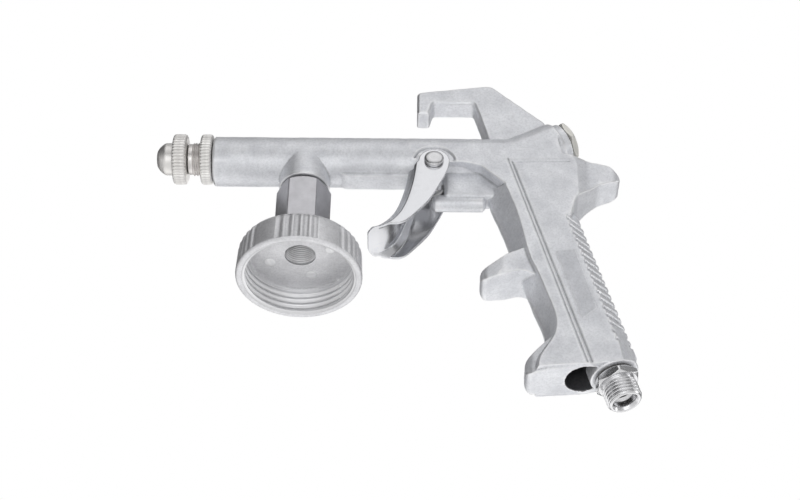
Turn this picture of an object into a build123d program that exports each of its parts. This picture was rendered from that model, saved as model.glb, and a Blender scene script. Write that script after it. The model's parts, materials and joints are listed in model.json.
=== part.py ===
from build123d import *
import math
import os

# Siphon-feed spray gun. Millimetres, +Z up, nozzle towards -X, handle towards +X.
# The origin is the centre of the cup lid's mouth; the gun is symmetric about Y = 0.

# ---------------------------------------------------------------- driving dimensions
# general clearances
RUN_GAP = 0.06            # radial gap of a turning or sliding fit
SEAT_GAP = 0.02           # gap where a fixed piece sits in its bore
SIDE_GAP = 0.3            # gap between faces that slide past each other

# barrel
BARREL_R = 10.0           # outside radius of the barrel
BARREL_Z = 60.5           # height of the barrel's axis above the lid's mouth
BARREL_FRONT_X = -36.7    # front face of the barrel
BARREL_CHAMFER = 0.7
BORE_R = 4.6              # long bore of the barrel
NOZZLE_LIFT = 1.1         # the bored axis lies above the cast barrel's own axis

# body casting behind the barrel
BODY_HALF = 9.75          # half thickness of the flat-sided casting
BODY_START_X = 42.0       # where the barrel's sides are cut flat
FLANK_FRONT_X = 47.5      # where the full-height flat sides begin
LEDGE_Z = 52.8            # underside of the wide casting, above the valve block
KEEL_HALF = 4.0           # air-passage rib under the barrel
KEEL_Z = 49.7
KEEL_FRONT_X = 12.5
KEEL_NOSE_R = 5.0

# cup boss under the barrel
BOSS_R = 10.0
BOSS_Z = 45.6
BOSS_SEAT_R = 8.4
BOSS_SEAT_DEPTH = 1.4

# valve axis, inclined from the front of the valve block up to the rear plug
VALVE_ANGLE = 29.0        # degrees above horizontal, towards the rear
VALVE_X = 103.4           # a point of the axis, at the rear end of the casting
VALVE_Z = 71.7
VALVE_BOSS_R = 8.6
CHAMBER_R = 5.2           # spring chamber
CHAMBER_LENGTH = 30.0
STEM_R = 1.5
GLAND_R = 2.9
BLOCK_HALF = 4.3          # half thickness of the valve block
BLOCK_FRONT_X = 55.2
BLOCK_REAR_X = 72.5
BLOCK_Z = 39.4
NUB_R = 3.4               # rounded bead along the block's underside, with a stop in front of it
NUB_X = 50.6
NUB_REAR_X = 71.6
NUB_Z = 39.0

POCKET_HALF = 9.25        # half thickness of the body between the trigger's ears
GLAND_DEPTH = 7.0
GLAND_SINK = 0.4
PACKING_LENGTH = 2.4
OUTLET_R = 3.2            # passage between the seat and the barrel bore
OUTLET_START = 39.5
SEAT_R = 4.4
SEAT_LENGTH = 3.0
POPPET_R = 4.2
POPPET_SEAL = 1.6
POPPET_LENGTH = 7.0
SPRING_R = 4.4
SPRING_WIRE = 0.8
SPRING_TURNS = 7
STEM_TIP_X = 41.4
PLUG_THREAD_R = 6.2
PLUG_THREAD_LENGTH = 6.0
PLUG_AF = 15.0
PLUG_HEAD = 2.4
PLUG_DIMPLE_R = 3.0
REAR_GASKET = 0.6

# hook
HOOK_HALF = 4.8
HOOK_EDGE = 0.9

# handle
HANDLE_LEAN = 14.5        # degrees from vertical, down and back
NOSE_HALF = 1.6           # half width of the handle's front nose
PANEL_DEPTH = 0.6
RIB_COUNT = 17
RIB_PITCH = 3.75
RIB_DEPTH = 0.9
RIB_GROOVE = 1.7
RIB_TOP = (108.6, 25.6)   # back of the handle at the first groove
PAD_STAND = 0.2
HORN_HALF = 8.3

# air inlet, G 1/4
INLET_X = 116.6           # where the inlet axis meets the bottom of the handle
INLET_Z = -43.6
INLET_LEAN = 15.5
INLET_THREAD_R = 6.5785   # G 1/4 crest radius
INLET_PITCH = 1.337
INLET_THREAD_LENGTH = 7.0
INLET_BORE_R = 4.2
INLET_SHANK_R = 5.4
INLET_HEX_AF = 15.0
INLET_HEX_LENGTH = 3.2
INLET_SHANK_LENGTH = 9.0
INLET_WASHER = 0.8
INLET_BOSS_R = 9.2
INLET_BOSS_STAND = 0.8
AIR_PASSAGE_R = 3.4
AIR_PASSAGE_LENGTH = 107.0
SOCKET_R = 7.4            # blind core hole beside the inlet
SOCKET_DEPTH = 12.0
SOCKET_X = 105.6

# trigger
PIVOT_X = 51.2
PIVOT_Z = 52.0
PIN_R = 2.5
PIN_HEAD_R = 3.85
PIN_HEAD_LENGTH = 2.0
TRIGGER_HALF = 11.0       # half width over the two cheeks
TRIGGER_SHEET = 1.2
FOLD_R = 3.0              # outside radius of the folds between web and cheeks
WEB_REAR_X = 39.5
WEB_TOP_GAP = 0.7         # space between the web's top and the casting above it
EAR_R = 6.1
PIN_PLAY = 0.15
PIN_END = 1.7
CLIP_THICK = 0.8
CLIP_R = 4.2
CLIP_GROOVE_R = 1.9
POCKET_R = 8.1

# cup lid
LID_R = 24.2
LID_TOP_R = 23.7
LID_HEIGHT = 14.4
LID_FLOOR_Z = 11.6
LID_MOUTH_R = 21.7
LID_CREST_R = 20.6
LID_PITCH = 2.7
LID_THREAD_START = 1.0
LID_RIB_GROUPS = 6
LID_FLUTES = 5
LID_FLUTE_ANGLE = 8.2
LID_FLUTE_R = 1.9
LID_FLUTE_DEPTH = 0.55

# hex nipple between lid and barrel
HEX_AF = 18.8
HEX_TOP_Z = 45.0
NIPPLE_WASHER = 0.9
FLUID_THREAD_R = 5.9
FLUID_PITCH = 1.0
FLUID_BORE_R = 2.2
DIP_CREST_R = 5.55        # dip tube thread inside the nipple
DIP_PITCH = 1.0
DIP_THREAD_DEPTH = 13.0
SPIGOT_R = 7.6            # spigot that seats in the lid's top
LIP = 0.9                 # lip of the lid's floor under the spigot

# nozzle
CAP_TIP_X = -59.6
CAP_R = 6.5
CAP_DOME = 3.2            # length of the cap's rounded front
CAP_FACE_R = 2.6
CAP_GAP = 0.6
MIX_R = 3.9               # mixing chamber inside the cap
TUBE_FRONT_R = 4.9
TUBE_BORE_R = 3.6
JET_TUBE_R = 2.6
JET_HOLE_R = 1.1
JET_LENGTH = 8.0
COLLAR_R = 10.1
COLLAR_FRONT_X = -53.0
COLLAR_REAR_X = -47.4
COLLAR_EDGE = 0.7
NECK_LENGTH = 2.6
NOZZLE_SOCKET = 14.0      # depth of the barrel's nozzle thread
BORE_END_X = 77.0
NECK_R = 6.2
RING_FRONT_X = -41.9
RING_REAR_X = -37.1
NOZZLE_THREAD_R = 6.7
NOZZLE_PITCH = 1.0
KNURL_COUNT = 46
KNURL_DEPTH = 0.45
SPRAY_HOLE_R = 1.6

# ---------------------------------------------------------------- derived places
NOZZLE_Z = BARREL_Z + NOZZLE_LIFT
VALVE_TILT = math.radians(VALVE_ANGLE)
VALVE_DIR = (math.cos(VALVE_TILT), 0, math.sin(VALVE_TILT))
FORWARD = (-1, 0, 0)


def on_valve_axis(x):
    """Point of the valve axis at a given X."""
    return (x, 0, VALVE_Z + (x - VALVE_X) * math.tan(VALVE_TILT))


def inlet_direction():
    lean = math.radians(INLET_LEAN)
    return (math.sin(lean), 0, -math.cos(lean))


# ---------------------------------------------------------------- shape helpers
def side_face(curve):
    """Face in the XZ plane from a closed curve drawn with X and Z."""
    return Plane.XZ * make_face(curve)


def slab(curve, half):
    """Plate of a side outline, symmetric about Y = 0."""
    return extrude(side_face(curve), amount=half, both=True)


def rounded(points, radii):
    """Closed outline with a radius at each corner."""
    return FilletPolyline(*points, radius=radii, close=True)


def turned(outline, start, direction):
    """Solid of revolution: outline of (radius, distance) from start along direction."""
    profile = Plane.XZ * make_face(Polyline(*outline, close=True))
    return Plane(origin=start, z_dir=direction) * revolve(profile, Axis.Z)


def rod(radius, start, direction, near, far):
    """Cylinder from near to far along a line."""
    return turned([(0, near), (radius, near), (radius, far), (0, far)], start, direction)


def ring(inner, outer, start, direction, near, far):
    """Plain ring from near to far along a line."""
    profile = [(inner, near), (outer, near), (outer, far), (inner, far)]
    return turned(profile, start, direction)


def ridge_points(crest, root, pitch, near, count):
    """Points of annular thread ridges with flat crests, from near upwards."""
    points = []
    for turn in range(count):
        base = near + turn * pitch
        points.append((crest, base))
        points.append((crest, base + 0.3 * pitch))
        points.append((root, base + 0.55 * pitch))
        points.append((root, base + 0.75 * pitch))
    points.append((crest, near + count * pitch))
    return points


def hex_prism(across_flats, start, direction, near, far, turn):
    """Hexagonal prism with its ends' corners chamfered."""
    corner = across_flats / math.sqrt(3)
    body = extrude(RegularPolygon(corner, 6, rotation=turn), amount=far - near)
    body = Plane(origin=start, z_dir=direction) * (Pos(0, 0, near) * body)
    flat = across_flats / 2
    drop = 0.5 * (corner - flat)
    cone = turned(
        [
            (0, near),
            (flat, near),
            (corner + 0.1, near + drop),
            (corner + 0.1, far - drop),
            (flat, far),
            (0, far),
        ],
        start,
        direction,
    )
    return body & cone


def knurled(outer, start, direction, near, far, edge):
    """Straight-knurled disc with bevelled edges."""
    points = []
    for index in range(2 * KNURL_COUNT):
        radius = outer if index % 2 == 0 else outer - KNURL_DEPTH
        angle = math.pi * index / KNURL_COUNT
        points.append((radius * math.cos(angle), radius * math.sin(angle)))
    star = extrude(make_face(Polyline(*points, close=True)), amount=far - near)
    star = Plane(origin=start, z_dir=direction) * (Pos(0, 0, near) * star)
    blank = turned(
        [
            (0, near),
            (outer - edge, near),
            (outer + 0.01, near + edge),
            (outer + 0.01, far - edge),
            (outer - edge, far),
            (0, far),
        ],
        start,
        direction,
    )
    return star & blank


# ---------------------------------------------------------------- gun body casting
def barrel_shape():
    length = VALVE_X - 20 - BARREL_FRONT_X
    profile = [
        (0, 0),
        (BARREL_R - BARREL_CHAMFER, 0),
        (BARREL_R, BARREL_CHAMFER),
        (BARREL_R, length),
        (0, length),
    ]
    barrel = turned(profile, (BARREL_FRONT_X, 0, BARREL_Z), (1, 0, 0))
    trim = Pos((BODY_START_X + VALVE_X) / 2, 0, BARREL_Z)
    width = Box(VALVE_X - BODY_START_X, 4 * BARREL_R, 4 * BARREL_R)
    keep = Box(VALVE_X - BODY_START_X, 2 * BODY_HALF, 4 * BARREL_R)
    return barrel - (trim * (width - keep))


def keel_shape():
    outline = rounded(
        [(KEEL_FRONT_X, BARREL_Z - 3), (KEEL_FRONT_X, KEEL_Z), (62, KEEL_Z), (62, BARREL_Z - 3)],
        [0.5, KEEL_NOSE_R, 0.5, 0.5],
    )
    return slab(outline, KEEL_HALF)


def cup_boss_shape():
    return rod(BOSS_R, (0, 0, BOSS_Z), (0, 0, 1), 0, BARREL_Z - BOSS_Z)


def ramp_point(x, rise):
    """Point a given distance above the valve axis."""
    base = on_valve_axis(x)
    return (base[0] - rise * math.sin(VALVE_TILT), base[2] + rise * math.cos(VALVE_TILT))


def upper_body_shape():
    crease = 2.2
    top_front = ramp_point(84.5, crease)
    top_rear = ramp_point(100.5, crease)
    outline = rounded(
        [
            (FLANK_FRONT_X, LEDGE_Z + 0.5),
            (FLANK_FRONT_X, BARREL_Z + crease),
            (top_front[0], BARREL_Z + crease),
            top_rear,
            (102.5, 56.0),
            (102.0, 40.0),
            (84.0, 30.0),
            (79.5, 41.0),
            (69.5, 51.0),
            (63.0, LEDGE_Z),
        ],
        [0.5, 0.5, 4.0, 1.0, 3.0, 3.0, 3.0, 8.0, 5.0, 3.0],
    )
    body = slab(outline, BODY_HALF)
    start = on_valve_axis(80.0)
    reach = (100.5 - 80.0) / math.cos(VALVE_TILT)
    ramp = rod(BARREL_R, start, VALVE_DIR, 0, reach)
    ramp = ramp & (Pos(90, 0, 70) * Box(80, 2 * BODY_HALF, 80))
    rear = rod(VALVE_BOSS_R, on_valve_axis(90.0), VALVE_DIR, 0, (VALVE_X - 90.0) / math.cos(VALVE_TILT))
    return body + ramp + rear


def hook_shape():
    outline = rounded(
        [
            (44.4, 84.0),
            (44.4, 96.6),
            (74.6, 100.9),
            (98.5, 77.5),
            (90.0, 62.0),
            (74.0, 62.0),
            (71.9, 74.1),
            (67.6, 90.3),
            (51.0, 90.3),
            (49.4, 84.0),
        ],
        [1.0, 2.2, 3.5, 6.0, 2.0, 2.0, 4.0, 1.6, 1.4, 1.0],
    )
    hook = slab(outline, HOOK_HALF)
    flanks = hook.faces().filter_by(Axis.Y)
    return chamfer(flanks.edges(), HOOK_EDGE)


def block_shape():
    outline = rounded(
        [
            (BLOCK_FRONT_X, BARREL_Z - 4),
            (BLOCK_FRONT_X, BLOCK_Z),
            (BLOCK_REAR_X + 4, BLOCK_Z),
            (BLOCK_REAR_X + 8, BARREL_Z - 4),
        ],
        [0.5, 1.0, 0.5, 0.5],
    )
    block = slab(outline, BLOCK_HALF)
    low = block.edges().filter_by(Axis.X).group_by(Axis.Z)[0]
    block = fillet(low, 1.6)
    length = NUB_REAR_X - NUB_X
    nub = turned(
        [(0, 0), (NUB_R - 1.2, 0), (NUB_R, 1.2), (NUB_R, length - 1.2), (NUB_R - 1.2, length), (0, length)],
        (NUB_X, 0, NUB_Z),
        (1, 0, 0),
    )
    return block + nub


def grip_curve(front, back):
    """Closed side outline of the grip: a smooth front and a straight back."""
    nose = Spline(*front)
    return nose + Polyline(front[-1], *back, front[0])


def grip_half(inner_curve, outer_curve):
    """One half of the grip: from the nose's flank out to the flat side."""
    inner = Plane.XZ.offset(NOSE_HALF) * make_face(inner_curve)
    outer = Plane.XZ.offset(BODY_HALF) * make_face(outer_curve)
    return loft([inner, outer], ruled=True)


def grip_shape():
    nose = [
        (72.3, 44.0),
        (73.6, 36.0),
        (76.4, 27.5),
        (80.4, 14.0),
        (83.5, 3.0),
        (86.6, -8.3),
        (89.2, -17.4),
        (91.8, -26.5),
        (91.2, -34.0),
        (87.5, -41.0),
        (86.5, -47.6),
    ]
    side = [
        (79.0, 41.0),
        (81.4, 33.6),
        (83.5, 25.5),
        (85.2, 16.5),
        (87.8, 3.0),
        (91.0, -6.0),
        (92.9, -13.0),
        (95.9, -25.0),
        (94.6, -33.5),
        (90.5, -40.5),
        (88.5, -47.2),
    ]
    spine = [(108.0, -46.4), (122.5, -43.0), (125.3, -37.5), (107.6, 30.0), (100.0, 44.0)]
    flank = [(108.0, -45.6), (119.0, -43.2), (117.8, -36.5), (102.2, 24.0), (97.0, 42.0)]
    inner_curve = grip_curve(nose, spine)
    half = grip_half(inner_curve, grip_curve(side, flank))
    middle = extrude(side_face(inner_curve), amount=NOSE_HALF, both=True)
    return middle + half + mirror(half, Plane.XZ)


def horn_shape(outline, radii, tip_x, root_x, half):
    """Finger horn: a side outline cut to a round-nosed plan."""
    plate = slab(rounded(outline, radii), BODY_HALF)
    plan = rounded(
        [(tip_x, -half * 0.75), (tip_x + 9, -half), (root_x, -half), (root_x, half),
         (tip_x + 9, half), (tip_x, half * 0.75)],
        [4.5, 6.0, 0.5, 0.5, 6.0, 4.5],
    )
    bottom = Plane.XY.offset(-80) * make_face(plan)
    return plate & extrude(bottom, amount=160)


def horns_shape():
    upper = horn_shape(
        [(68.4, -0.5), (79.5, 7.0), (90.0, 12.0), (92.0, -4.5), (84.0, -1.2), (69.0, -5.2)],
        [2.2, 8.0, 0.5, 0.5, 5.0, 2.2],
        68.4,
        92.0,
        HORN_HALF,
    )
    lower = horn_shape(
        [(84.0, -42.0), (93.5, -33.0), (98.0, -30.0), (108.0, -45.5), (84.0, -48.6)],
        [4.0, 6.0, 0.5, 0.5, 2.5],
        84.0,
        108.0,
        HORN_HALF,
    )
    return upper + lower


def tang_shape():
    outline = rounded(
        [
            (99.0, 58.5),
            (120.5, 54.2),
            (126.6, 47.6),
            (116.0, 43.8),
            (106.5, 35.5),
            (104.0, 26.0),
            (96.0, 26.0),
        ],
        [0.5, 5.5, 2.6, 8.0, 6.0, 1.0, 0.5],
    )
    plate = slab(outline, BODY_HALF)
    plan = rounded(
        [(90.0, -BODY_HALF), (106.0, -BODY_HALF), (112.0, -7.0), (125.3, -6.0),
         (125.3, 6.0), (112.0, 7.0), (106.0, BODY_HALF), (90.0, BODY_HALF)],
        [0.5, 5.0, 5.0, 4.8, 4.8, 5.0, 5.0, 0.5],
    )
    return plate & extrude(make_face(plan), amount=90)


def inlet_boss():
    """Round boss that carries the air inlet, standing a little below the handle."""
    start = (INLET_X, 0, INLET_Z)
    return rod(INLET_BOSS_R, start, inlet_direction(), -SOCKET_DEPTH - 4, INLET_BOSS_STAND)


def panel_recess(side):
    """Lowered side panel of the handle, with sloping walls; side is -1 or 1."""
    outline = [(80.8, 54.6), (150.0, 56.6), (150.0, -70.0), (113.2, -70.0)]
    slope = 1.4
    floor = [(80.8 + slope, 54.6 - slope), (150.0, 56.6 - slope), (150.0, -70.0), (113.2 + slope, -70.0)]
    plane = Plane.XZ if side < 0 else Plane(origin=(0, 0, 0), x_dir=(1, 0, 0), z_dir=(0, 1, 0))
    flip = 1 if side < 0 else -1
    mouth_curve = Polyline(*[(x, flip * z) for x, z in outline], close=True)
    floor_curve = Polyline(*[(x, flip * z) for x, z in floor], close=True)
    mouth = plane.offset(BODY_HALF + 0.01) * make_face(mouth_curve)
    bottom = plane.offset(BODY_HALF - PANEL_DEPTH) * make_face(floor_curve)
    return loft([bottom, mouth], ruled=True)


def blank_pad():
    """Plain raised pad on both sides of the handle."""
    outline = rounded(
        [(97.2, 7.1), (104.5, 8.2), (111.1, -20.3), (105.3, -25.3)],
        [1.0, 1.0, 1.0, 1.0],
    )
    pad = slab(outline, BODY_HALF - PANEL_DEPTH + PAD_STAND)
    return pad - slab(outline, BODY_HALF - PANEL_DEPTH - 1.5)


def rib_grooves():
    """Cross grooves that leave the ribs down the back of the handle."""
    lean = math.radians(HANDLE_LEAN)
    down = Vector(math.sin(lean), 0, -math.cos(lean))
    across = Vector(math.cos(lean), 0, math.sin(lean))
    grooves = []
    for index in range(RIB_COUNT):
        centre = Vector(RIB_TOP[0], 0, RIB_TOP[1]) + down * (index * RIB_PITCH)
        plane = Plane(origin=centre - down * (RIB_GROOVE / 2), x_dir=across, z_dir=down)
        outline = [
            (-RIB_DEPTH, -NOSE_HALF - 0.6),
            (-7.0 - RIB_DEPTH, -BODY_HALF - 0.6),
            (8.0, -BODY_HALF - 0.6),
            (8.0, BODY_HALF + 0.6),
            (-7.0 - RIB_DEPTH, BODY_HALF + 0.6),
            (-RIB_DEPTH, NOSE_HALF + 0.6),
        ]
        face = plane * make_face(Polyline(*outline, close=True))
        grooves.append(extrude(face, amount=RIB_GROOVE, dir=tuple(down)))
    return grooves


def trigger_pocket(side):
    """Round shallow pocket in the body's flank for a trigger ear."""
    start = (PIVOT_X, side * POCKET_HALF, PIVOT_Z)
    return rod(POCKET_R, start, (0, side, 0), 0, BARREL_R)


def valve_bores():
    """Inclined bore: gland thread, stem bore, outlet chamber, seat and spring chamber."""
    start = on_valve_axis(VALVE_X)
    front = (BLOCK_FRONT_X - VALVE_X) / math.cos(VALVE_TILT)
    bead_front = (NUB_X - VALVE_X) / math.cos(VALVE_TILT)
    bores = rod(STEM_R + RUN_GAP, start, VALVE_DIR, bead_front - 2 * STEM_R, -10)
    bores += rod(GLAND_R + SEAT_GAP, start, VALVE_DIR, front - 6, front + GLAND_DEPTH)
    bores += rod(OUTLET_R, start, VALVE_DIR, -OUTLET_START, -CHAMBER_LENGTH + 0.5)
    bores += rod(SEAT_R + SEAT_GAP, start, VALVE_DIR, -CHAMBER_LENGTH - SEAT_LENGTH, -CHAMBER_LENGTH + 1)
    bores += rod(CHAMBER_R, start, VALVE_DIR, -CHAMBER_LENGTH, -PLUG_THREAD_LENGTH + 1)
    bores += rod(PLUG_THREAD_R + SEAT_GAP, start, VALVE_DIR, -PLUG_THREAD_LENGTH, 5)
    return bores


def fluid_bores():
    """Barrel bore, nozzle thread, cup boss thread and the handle's air passage."""
    axis_start = (0, 0, NOZZLE_Z)
    bores = rod(BORE_R, axis_start, FORWARD, -BORE_END_X, -BARREL_FRONT_X - NOZZLE_SOCKET + 1)
    bores += rod(NOZZLE_THREAD_R + RUN_GAP, axis_start, FORWARD,
                 -BARREL_FRONT_X - NOZZLE_SOCKET, -BARREL_FRONT_X + 5)
    up = (0, 0, 1)
    bores += rod(FLUID_THREAD_R + SEAT_GAP, (0, 0, 0), up, BOSS_Z - 1, NOZZLE_Z - BORE_R - 2.0)
    bores += rod(FLUID_BORE_R, (0, 0, 0), up, BOSS_Z, NOZZLE_Z)
    bores += rod(BOSS_SEAT_R, (0, 0, 0), up, BOSS_Z - 1, BOSS_Z + BOSS_SEAT_DEPTH)
    inlet = (INLET_X, 0, INLET_Z)
    bores += rod(AIR_PASSAGE_R, inlet, inlet_direction(), -AIR_PASSAGE_LENGTH, 2)
    bores += rod(INLET_SHANK_R + SEAT_GAP, inlet, inlet_direction(), -INLET_SHANK_LENGTH - 1, 5)
    bores += rod(INLET_BOSS_R + 3, inlet, inlet_direction(), INLET_BOSS_STAND, 8)
    return bores


def socket_core():
    """Blind core hole in the bottom of the handle, beside the inlet boss."""
    core = rod(SOCKET_R, (SOCKET_X, 0, INLET_Z), inlet_direction(), -SOCKET_DEPTH, 8)
    return core - inlet_boss()


def pin_bore():
    return rod(PIN_R + SEAT_GAP, (PIVOT_X, 0, PIVOT_Z), (0, 1, 0), -15, 15)


def gun_body():
    body = barrel_shape() + keel_shape() + cup_boss_shape()
    body = body + upper_body_shape() + block_shape()
    body = body + grip_shape() + horns_shape() + tang_shape()
    body = body - panel_recess(-1) - panel_recess(1)
    body = body - rib_grooves()
    body = body + hook_shape() + inlet_boss() + blank_pad()
    body = body - trigger_pocket(-1) - trigger_pocket(1)
    body = body - valve_bores() - fluid_bores() - socket_core() - pin_bore()
    return body


# ---------------------------------------------------------------- nozzle group
def nozzle_cap():
    """Domed spray cap with its knurled collar."""
    start = (0, 0, NOZZLE_Z)
    tip = -CAP_TIP_X
    front = -COLLAR_FRONT_X
    rear = -COLLAR_REAR_X
    dome = [
        (0, rear),
        (CAP_R, rear),
        (CAP_R, tip - CAP_DOME),
        (CAP_R - 0.5, tip - CAP_DOME + 1.0),
        (CAP_FACE_R + 0.9, tip - 0.35),
        (CAP_FACE_R, tip),
        (0, tip),
    ]
    cap = turned(dome, start, FORWARD)
    collar = knurled(COLLAR_R, start, FORWARD, rear, front, COLLAR_EDGE)
    cap = cap + collar
    cap = cap - rod(SPRAY_HOLE_R, start, FORWARD, rear - 1, tip + 1)
    mixing = [
        (0, rear - 1),
        (TUBE_FRONT_R + SEAT_GAP, rear - 1),
        (TUBE_FRONT_R + SEAT_GAP, front + 1.0),
        (MIX_R, front + 1.0),
        (MIX_R, tip - 3.4),
        (SPRAY_HOLE_R, tip - 2.0),
        (0, tip - 2.0),
    ]
    return cap - turned(mixing, start, FORWARD)


def nozzle_tube():
    """Threaded tube that carries the cap and screws into the barrel."""
    start = (0, 0, NOZZLE_Z)
    rear = -BARREL_FRONT_X - NOZZLE_SOCKET + 2.0
    neck = -COLLAR_REAR_X - NECK_LENGTH
    shoulder = -COLLAR_REAR_X - CAP_GAP
    turns = math.floor((neck - rear) / NOZZLE_PITCH)
    thread_start = neck - turns * NOZZLE_PITCH
    root = NOZZLE_THREAD_R - 0.55 * NOZZLE_PITCH
    outline = [(TUBE_BORE_R, thread_start)]
    outline += ridge_points(NOZZLE_THREAD_R, root, NOZZLE_PITCH, thread_start, turns)
    outline += [
        (NECK_R, neck + 0.2),
        (NECK_R, shoulder),
        (TUBE_FRONT_R, shoulder),
        (TUBE_FRONT_R, -COLLAR_FRONT_X + 0.6),
        (TUBE_BORE_R, -COLLAR_FRONT_X + 0.6),
    ]
    return turned(outline, start, FORWARD)


def nozzle_seal():
    """Flat seal between the cap and the tube's shoulder."""
    rear = -COLLAR_REAR_X - CAP_GAP
    return ring(TUBE_FRONT_R + SEAT_GAP, NECK_R - 0.5, (0, 0, NOZZLE_Z), FORWARD, rear, rear + CAP_GAP)


def lock_ring():
    """Knurled ring that locks the tube against the barrel."""
    start = (0, 0, NOZZLE_Z)
    body = knurled(COLLAR_R, start, FORWARD, -RING_REAR_X, -RING_FRONT_X, COLLAR_EDGE)
    return body - rod(NOZZLE_THREAD_R + RUN_GAP, start, FORWARD, 0, 60)


def air_jet():
    """Inner air jet, screwed into the barrel behind the nozzle."""
    rear = -BARREL_FRONT_X - NOZZLE_SOCKET - JET_LENGTH
    outline = [
        (JET_HOLE_R, rear),
        (BORE_R - SEAT_GAP, rear),
        (BORE_R - SEAT_GAP, rear + JET_LENGTH - 1.0),
        (JET_TUBE_R, rear + JET_LENGTH - 1.0),
        (JET_TUBE_R, -COLLAR_FRONT_X - 1.0),
        (JET_HOLE_R + 0.4, -COLLAR_FRONT_X + 2.2),
        (JET_HOLE_R, -COLLAR_FRONT_X + 2.2),
    ]
    return turned(outline, (0, 0, NOZZLE_Z), FORWARD)


# ---------------------------------------------------------------- cup lid group
def cup_lid():
    """Screw lid for the material cup: ribbed skirt, inside thread, centre spigot."""
    up = (0, 0, 1)
    skirt = turned(
        [
            (0, 0),
            (LID_R - 0.8, 0),
            (LID_R, 0.8),
            (LID_TOP_R, LID_HEIGHT - 2.2),
            (LID_TOP_R - 2.2, LID_HEIGHT),
            (0, LID_HEIGHT),
        ],
        (0, 0, 0),
        up,
    )
    turns = math.floor((LID_FLOOR_Z - LID_THREAD_START) / LID_PITCH)
    top = LID_THREAD_START + turns * LID_PITCH
    inside = [(0, -1), (LID_MOUTH_R, -1), (LID_MOUTH_R, LID_THREAD_START - 0.4)]
    inside += ridge_points(LID_CREST_R, LID_MOUTH_R, LID_PITCH, LID_THREAD_START, turns)[:-1]
    inside += [(LID_CREST_R, top), (LID_CREST_R, LID_FLOOR_Z - 0.5), (LID_CREST_R - 0.5, LID_FLOOR_Z)]
    inside += [(0, LID_FLOOR_Z)]
    lid = skirt - turned(inside, (0, 0, 0), up)
    lid = lid - rod(DIP_CREST_R + 0.4, (0, 0, 0), up, 0, 30)
    lid = lid - rod(SPIGOT_R + SEAT_GAP, (0, 0, 0), up, LID_FLOOR_Z + LIP, 30)
    centre = LID_R - LID_FLUTE_DEPTH + LID_FLUTE_R
    flutes = []
    for group in range(LID_RIB_GROUPS):
        for step in range(LID_FLUTES):
            angle = 270 + group * 360 / LID_RIB_GROUPS + (step - (LID_FLUTES - 1) / 2) * LID_FLUTE_ANGLE
            turn = math.radians(angle)
            place = (centre * math.cos(turn), centre * math.sin(turn), 0)
            flutes.append(rod(LID_FLUTE_R, place, up, -1, LID_HEIGHT + 1))
    return lid - flutes


def hex_nipple():
    """Hexagonal nipple that joins the lid to the barrel."""
    up = (0, 0, 1)
    origin = (0, 0, 0)
    lower = LID_HEIGHT + NIPPLE_WASHER
    body = hex_prism(HEX_AF, origin, up, lower, HEX_TOP_Z, 0)
    body = body + rod(SPIGOT_R, origin, up, LID_FLOOR_Z + LIP, lower)
    root = FLUID_THREAD_R - 0.5 * FLUID_PITCH
    turns_top = math.floor((NOZZLE_Z - BORE_R - 2.4 - HEX_TOP_Z) / FLUID_PITCH)
    high = [(0, HEX_TOP_Z)]
    high += ridge_points(FLUID_THREAD_R, root, FLUID_PITCH, HEX_TOP_Z, turns_top)
    high += [(0, HEX_TOP_Z + turns_top * FLUID_PITCH)]
    body = body + turned(high, origin, up)
    body = body - rod(FLUID_BORE_R, origin, up, 0, 70)
    dip_turns = math.floor(DIP_THREAD_DEPTH / DIP_PITCH)
    dip_start = LID_FLOOR_Z + LIP
    dip = [(0, 5), (DIP_CREST_R, 5)]
    dip += ridge_points(DIP_CREST_R, DIP_CREST_R + 0.45, DIP_PITCH, dip_start, dip_turns)
    dip += [(0, dip_start + dip_turns * DIP_PITCH + 2.0)]
    return body - turned(dip, origin, up)


def nipple_washer():
    """Sealing washer between the hexagon and the lid."""
    inner = SPIGOT_R + SEAT_GAP
    return ring(inner, HEX_AF / 2 - 0.3, (0, 0, 0), (0, 0, 1), LID_HEIGHT, LID_HEIGHT + NIPPLE_WASHER)


# ---------------------------------------------------------------- trigger group
def trigger_path():
    """Front line of the trigger's web, from its top to the paddle's tip."""
    top = min(KEEL_Z, BARREL_Z - BARREL_R) - WEB_TOP_GAP
    return [
        (41.2, top),
        (40.2, 41.5),
        (38.5, 34.0),
        (36.2, 27.6),
        (33.2, 23.3),
        (29.6, 21.0),
        (25.5, 20.2),
    ]


def shifted(points, distance):
    """Points moved to the right-hand side of their own line."""
    moved = []
    for index, (x, z) in enumerate(points):
        before = points[max(index - 1, 0)]
        after = points[min(index + 1, len(points) - 1)]
        run = math.hypot(after[0] - before[0], after[1] - before[1])
        moved.append((x - distance * (after[1] - before[1]) / run,
                      z + distance * (after[0] - before[0]) / run))
    return moved


def folded_edge(edge):
    """True for an edge along the fold between the web and a cheek."""
    centre = edge.center()
    flank = abs(centre.Y) > TRIGGER_HALF - TRIGGER_SHEET - 0.1
    return flank and edge.geom_type == GeomType.BSPLINE and centre.X < WEB_REAR_X and centre.Z > 28


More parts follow.
